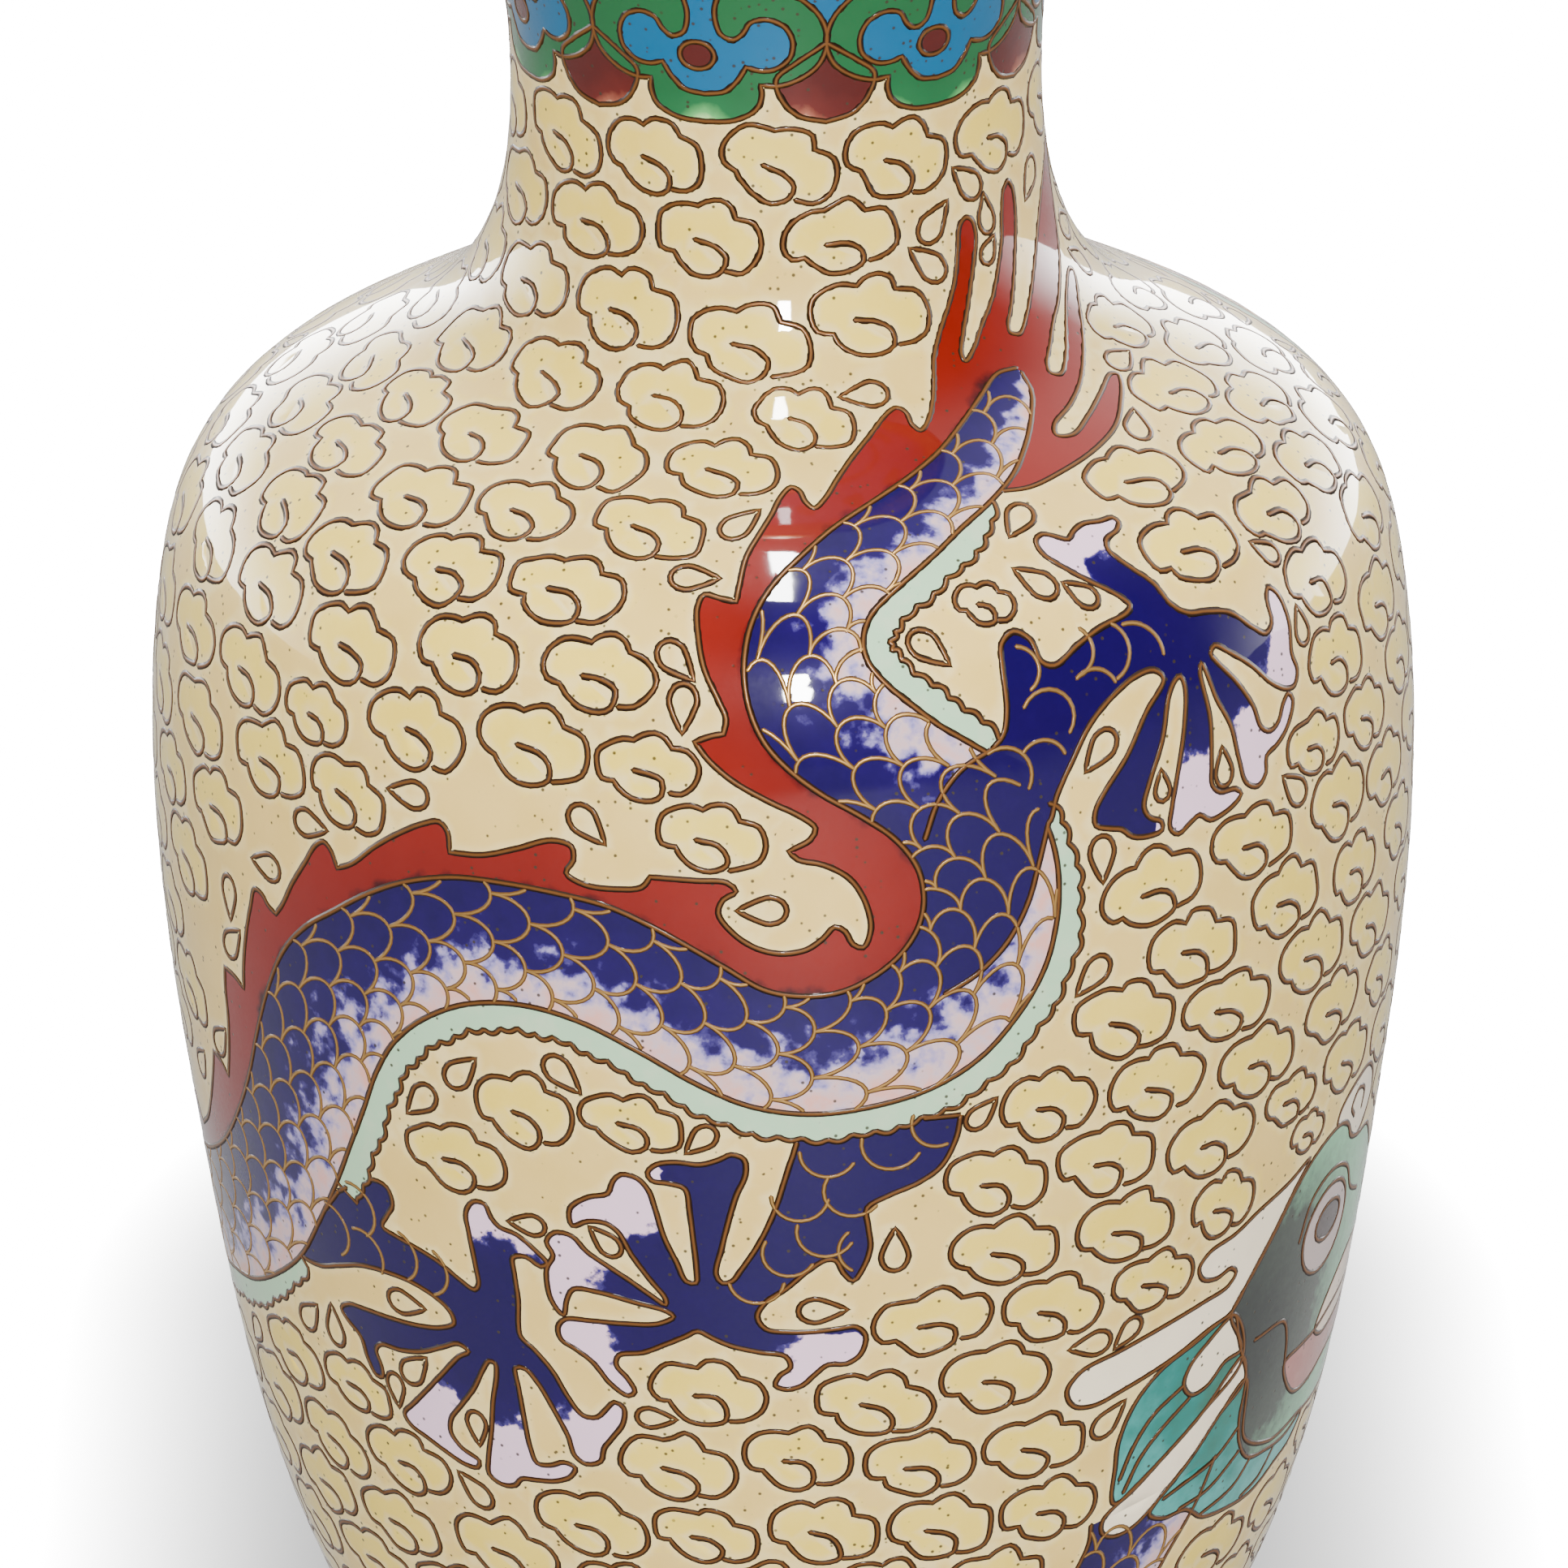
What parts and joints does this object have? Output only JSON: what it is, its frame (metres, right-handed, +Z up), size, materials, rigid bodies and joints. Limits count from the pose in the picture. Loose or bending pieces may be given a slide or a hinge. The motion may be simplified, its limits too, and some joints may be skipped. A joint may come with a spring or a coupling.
{
  "type": "cloisonne vase",
  "caption": "Baluster vase of copper shells with a flared neck and foot, covered in wired and fired enamel with brass rims.",
  "frame": {"origin": "centre of the foot on the surface the vase stands on", "axes": "+Z up along the axis of the vase, -Y towards the front"},
  "size_m": [0.102, 0.102, 0.204],
  "materials": {
    "copper": "hammered and pickled copper",
    "brass": "turned and polished",
    "wire": "gilt wire, ground flush and polished",
    "solder": "silver solder",
    "ground_enamel": "polished pale yellow enamel with wired clouds and dragons",
    "border_enamel": "polished light blue enamel",
    "counter_enamel": "fired blue counter-enamel"
  },
  "bodies": {
    "root": {"base_plate": "copper", "foot_shell": "copper", "body_shell": "copper", "neck_shell": "copper", "mouth_rim": "brass", "foot_rim": "brass", "foot_border_wire": "wire", "waist_border_wire": "wire", "collar_border_wire": "wire", "mouth_border_wire": "wire", "foot_joint_solder": "solder", "neck_joint_solder": "solder", "ground_enamel": "ground_enamel", "foot_enamel": "border_enamel", "mouth_enamel": "border_enamel", "foot_lining": "counter_enamel", "body_lining": "counter_enamel", "neck_lining": "counter_enamel", "floor_enamel": "counter_enamel", "base_enamel": "counter_enamel"}
  },
  "joints": []
}
